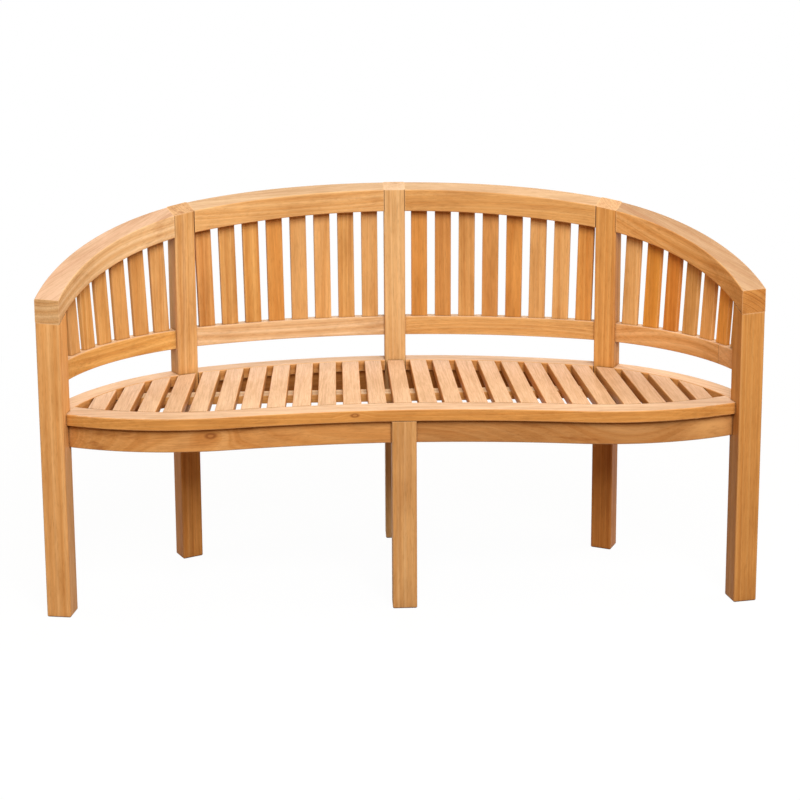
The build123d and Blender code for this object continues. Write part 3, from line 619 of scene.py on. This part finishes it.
screws = benchNodes["slat_screws"]
screws.data.materials.clear()
screws.data.materials.append(steelFinish("screw_steel", screwSteel))
print("screws dressed")


studio = {
    "floorSize": 30.0,
    "floorCells": 8,
    "floorShown": 0.95,                    # grey of the floor as it is seen
    "floorGlow": (0.17, 0.085, 0.028),     # what it throws back up, warm from the wood around it
    "whiteShare": 0.96,                    # plain white near the bench, the rest keeps the shadow
    "whiteFrom": 1.2,                      # the white grows from here
    "whiteTo": 2.4,                        # and is whole from here
    "skyLevel": 0.22,
    "skyTint": (1.0, 0.78, 0.52),
    "lamps": {
        "frontSoftbox": {
            "spot": (0.5, -3.6, 3.4), "aim": (0.0, 0.0, 0.55),
            "size": 2.6, "power": 252.0, "tint": white},
        "leftSoftbox": {
            "spot": (-2.0, -0.1, 2.3), "aim": (0.0, 0.0, 0.6),
            "size": 1.4, "power": 16.0, "tint": (1.0, 0.90, 0.74)},
        "rightSoftbox": {
            "spot": (2.0, -0.1, 2.3), "aim": (0.0, 0.0, 0.6),
            "size": 1.4, "power": 27.0, "tint": (1.0, 0.92, 0.80)},
        "rearSoftbox": {                   # without gloss, or it would glare over the seat
            "spot": (0.0, 3.8, 1.25), "aim": (0.0, 0.0, 0.45),
            "size": 2.0, "power": 66.0, "tint": white, "gloss": False},
    },
}


def seenRays(tree):
    # 1 for rays that show the surface itself, straight on or in a gloss, 0 for light thrown back
    rays = putNode(tree, "ShaderNodeLightPath").outputs
    mirrored = mathNode(tree, "MAXIMUM", rays["Is Glossy Ray"], rays["Is Transmission Ray"])
    return mathNode(tree, "MAXIMUM", rays["Is Camera Ray"], mirrored)


def makeFloor(plan):
    # a flat square grid: x and y in even steps from edge to edge, z nought
    half, cells = plan["floorSize"] / 2, plan["floorCells"]
    steps = np.linspace(-half, half, cells + 1)
    x, y = np.meshgrid(steps, steps)
    points = np.stack([x.ravel(), y.ravel(), np.zeros(x.size)], axis=1)
    row, column = np.meshgrid(np.arange(cells), np.arange(cells), indexing="ij")
    corner = (row * (cells + 1) + column).ravel()
    above = corner + cells + 1
    faces = np.stack([corner, corner + 1, above + 1, above], axis=1)
    mesh = bpy.data.meshes.new("studioFloor")
    mesh.from_pydata(points.tolist(), [], faces.tolist())
    floor = bpy.data.objects.new("studioFloor", mesh)
    bpy.context.scene.collection.objects.link(floor)

    # paper that shows white and keeps a faint shadow, and throws back little light
    material = bpy.data.materials.new("paper_floor")
    tree = freshTree(material)
    seen = seenRays(tree)
    grey = plan["floorShown"]
    shown = mixColour(tree, "MIX", seen, plan["floorGlow"], (grey, grey, grey))
    matt = putNode(tree, "ShaderNodeBsdfDiffuse", {"Color": shown})
    glow = putNode(tree, "ShaderNodeEmission", {"Color": (*white, 1.0), "Strength": 1.0})
    away = vectorNode(tree, "LENGTH", putNode(tree, "ShaderNodeTexCoord").outputs["Object"])
    fade = rangeNode(tree, away, (plan["whiteFrom"], plan["whiteTo"]), (plan["whiteShare"], 1.0))
    share = mathNode(tree, "MULTIPLY", seen, fade)
    both = putNode(tree, "ShaderNodeMixShader",
                   {0: share, 1: matt.outputs[0], 2: glow.outputs[0]})
    putNode(tree, "ShaderNodeOutputMaterial", {"Surface": both.outputs[0]})
    mesh.materials.append(material)


def makeSky(plan):
    # plain white where it is seen, a low warm light on the bench
    world = bpy.data.worlds.new("studioSky")
    bpy.context.scene.world = world
    tree = freshTree(world)
    seen = seenRays(tree)
    level = rangeNode(tree, seen, (0.0, 1.0), (plan["skyLevel"], 1.0))
    tint = mixColour(tree, "MIX", seen, plan["skyTint"], white)
    sky = putNode(tree, "ShaderNodeBackground", {"Color": tint, "Strength": level})
    putNode(tree, "ShaderNodeOutputWorld", {"Surface": sky.outputs[0]})


def makeLamps(plan):
    for label, lamp in plan["lamps"].items():
        data = bpy.data.lights.new(label, "AREA")
        data.shape = "SQUARE"
        data.size = lamp["size"]
        data.energy = lamp["power"]
        data.color = lamp["tint"]
        light = bpy.data.objects.new(label, data)
        bpy.context.scene.collection.objects.link(light)
        light.visible_glossy = lamp.get("gloss", True)
        light.location = lamp["spot"]
        toAim = Vector(lamp["aim"]) - Vector(lamp["spot"])
        light.rotation_euler = toAim.to_track_quat("-Z", "Y").to_euler()


makeFloor(studio)
makeSky(studio)
makeLamps(studio)
print("studio set")
